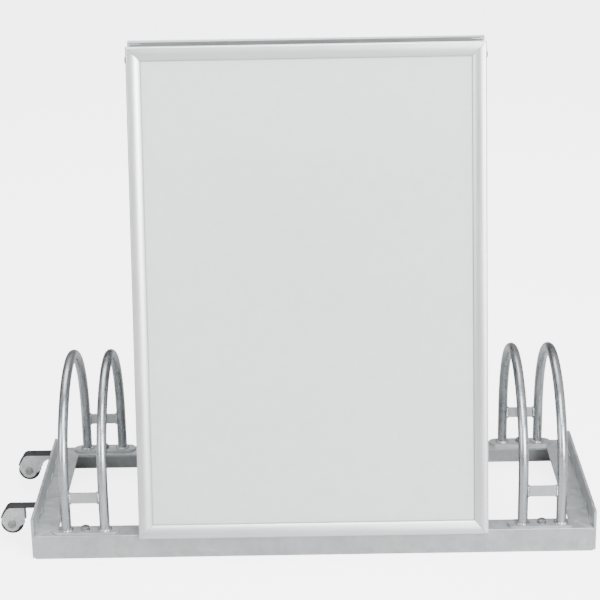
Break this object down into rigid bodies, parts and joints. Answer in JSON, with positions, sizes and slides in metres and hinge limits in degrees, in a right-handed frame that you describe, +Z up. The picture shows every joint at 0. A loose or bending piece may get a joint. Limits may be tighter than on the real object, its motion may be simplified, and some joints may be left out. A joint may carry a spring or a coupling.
{
  "type": "sandwich board",
  "caption": "Sandwich board of two leaning snap poster frames on a galvanised bicycle rack with wheel hoops and transport rollers.",
  "frame": {"origin": "on the floor, under the centre of the whole part's box, rollers included", "axes": "+X along the rack away from the rollers, +Y from the front board to the rear board, +Z up"},
  "size_m": [1.076, 0.4188, 0.8929],
  "materials": {
    "galvanised_steel": "hot-dip galvanised, matt with faint spangle",
    "galvanised_tube": "galvanised tube, bright and streaky",
    "zinc_fasteners": "bright zinc plated",
    "black_fasteners": "black zinc plated",
    "black_steel": "black coated, semi-gloss",
    "zinc_plate": "pressed zinc-plated sheet",
    "grey_nylon": "moulded grey nylon",
    "black_rubber": "matt black rubber",
    "anodised_aluminium": "natural anodised, satin",
    "panel_steel": "galvanised sheet, matt",
    "poster_paper": "plain white poster paper",
    "clear_sheet": "clear anti-glare cover sheet"
  },
  "bodies": {
    "rack": {"front_rail": "galvanised_steel", "rear_rail": "galvanised_steel", "left_end_rail": "galvanised_steel", "right_end_rail": "galvanised_steel", "left_end_plate": "galvanised_steel", "right_end_plate": "galvanised_steel", "left_outer_hoop": "galvanised_tube", "left_inner_hoop": "galvanised_tube", "right_inner_hoop": "galvanised_tube", "right_outer_hoop": "galvanised_tube", "left_front_foot_plate": "galvanised_steel", "left_rear_foot_plate": "galvanised_steel", "right_front_foot_plate": "galvanised_steel", "right_rear_foot_plate": "galvanised_steel", "left_tie_bars": "galvanised_steel", "right_tie_bars": "galvanised_steel", "foot_bolts": "zinc_fasteners", "foot_washers": "zinc_fasteners", "m8_nuts": "zinc_fasteners", "front_roller_bracket": "black_steel", "rear_roller_bracket": "black_steel", "front_roller_fork": "zinc_plate", "rear_roller_fork": "zinc_plate", "roller_axle_bolts": "zinc_fasteners", "roller_axle_sleeves": "zinc_fasteners", "front_base_frame": "anodised_aluminium", "front_back_panel": "panel_steel", "front_poster": "poster_paper", "front_cover_sheet": "clear_sheet", "front_corner_keys": "zinc_plate", "front_snap_springs": "zinc_plate", "front_hinge_ears": "galvanised_steel", "front_ear_rivets": "zinc_fasteners", "pivot_bolts": "black_fasteners", "m6_nuts": "zinc_fasteners", "rail_brackets": "galvanised_steel", "rail_bracket_bolts": "zinc_fasteners", "board_screws": "zinc_fasteners"},
    "rear_board": {"rear_base_frame": "anodised_aluminium", "rear_back_panel": "panel_steel", "rear_poster": "poster_paper", "rear_cover_sheet": "clear_sheet", "rear_corner_keys": "zinc_plate", "rear_snap_springs": "zinc_plate", "rear_hinge_ears": "galvanised_steel", "rear_ear_rivets": "zinc_fasteners"},
    "front_roller": {"front_roller_hub": "grey_nylon", "front_roller_tyre": "black_rubber"},
    "rear_roller": {"rear_roller_hub": "grey_nylon", "rear_roller_tyre": "black_rubber"},
    "front_top_cover": {"front_top_cover": "anodised_aluminium"},
    "front_bottom_cover": {"front_bottom_cover": "anodised_aluminium"},
    "front_left_cover": {"front_left_cover": "anodised_aluminium"},
    "front_right_cover": {"front_right_cover": "anodised_aluminium"},
    "rear_top_cover": {"rear_top_cover": "anodised_aluminium"},
    "rear_bottom_cover": {"rear_bottom_cover": "anodised_aluminium"},
    "rear_left_cover": {"rear_left_cover": "anodised_aluminium"},
    "rear_right_cover": {"rear_right_cover": "anodised_aluminium"}
  },
  "joints": [
    {"name": "rear_board_swing", "type": "hinge", "parent": "rack", "child": "rear_board", "pos_m": [0.033, 0, 0.86419], "axis": [1, 0, 0], "range_deg": [0, 60]},
    {"name": "front_roller_spin", "type": "hinge", "parent": "rack", "child": "front_roller", "pos_m": [-0.517, -0.115, 0.0365], "axis": [0, 1, 0], "continuous": true},
    {"name": "rear_roller_spin", "type": "hinge", "parent": "rack", "child": "rear_roller", "pos_m": [-0.517, 0.115, 0.0365], "axis": [0, 1, 0], "continuous": true},
    {"name": "front_top_cover_hinge", "type": "hinge", "parent": "rack", "child": "front_top_cover", "pos_m": [0.033, -0.02827, 0.89018], "axis": [-1, 0, 0], "range_deg": [0, 80]},
    {"name": "front_bottom_cover_hinge", "type": "hinge", "parent": "rack", "child": "front_bottom_cover", "pos_m": [0.033, -0.20637, 0.04555], "axis": [1, 0, 0], "range_deg": [0, 80]},
    {"name": "front_left_cover_hinge", "type": "hinge", "parent": "rack", "child": "front_left_cover", "pos_m": [-0.2751, -0.11732, 0.46787], "axis": [0, -0.2063, -0.9785], "range_deg": [0, 80]},
    {"name": "front_right_cover_hinge", "type": "hinge", "parent": "rack", "child": "front_right_cover", "pos_m": [0.3411, -0.11732, 0.46787], "axis": [0, 0.2063, 0.9785], "range_deg": [0, 80]},
    {"name": "rear_top_cover_hinge", "type": "hinge", "parent": "rear_board", "child": "rear_top_cover", "pos_m": [0.033, 0.02827, 0.89018], "axis": [1, 0, 0], "range_deg": [0, 80]},
    {"name": "rear_bottom_cover_hinge", "type": "hinge", "parent": "rear_board", "child": "rear_bottom_cover", "pos_m": [0.033, 0.20637, 0.04555], "axis": [-1, 0, 0], "range_deg": [0, 80]},
    {"name": "rear_left_cover_hinge", "type": "hinge", "parent": "rear_board", "child": "rear_left_cover", "pos_m": [-0.2751, 0.11732, 0.46787], "axis": [0, -0.2063, 0.9785], "range_deg": [0, 80]},
    {"name": "rear_right_cover_hinge", "type": "hinge", "parent": "rear_board", "child": "rear_right_cover", "pos_m": [0.3411, 0.11732, 0.46787], "axis": [0, 0.2063, -0.9785], "range_deg": [0, 80]}
  ]
}
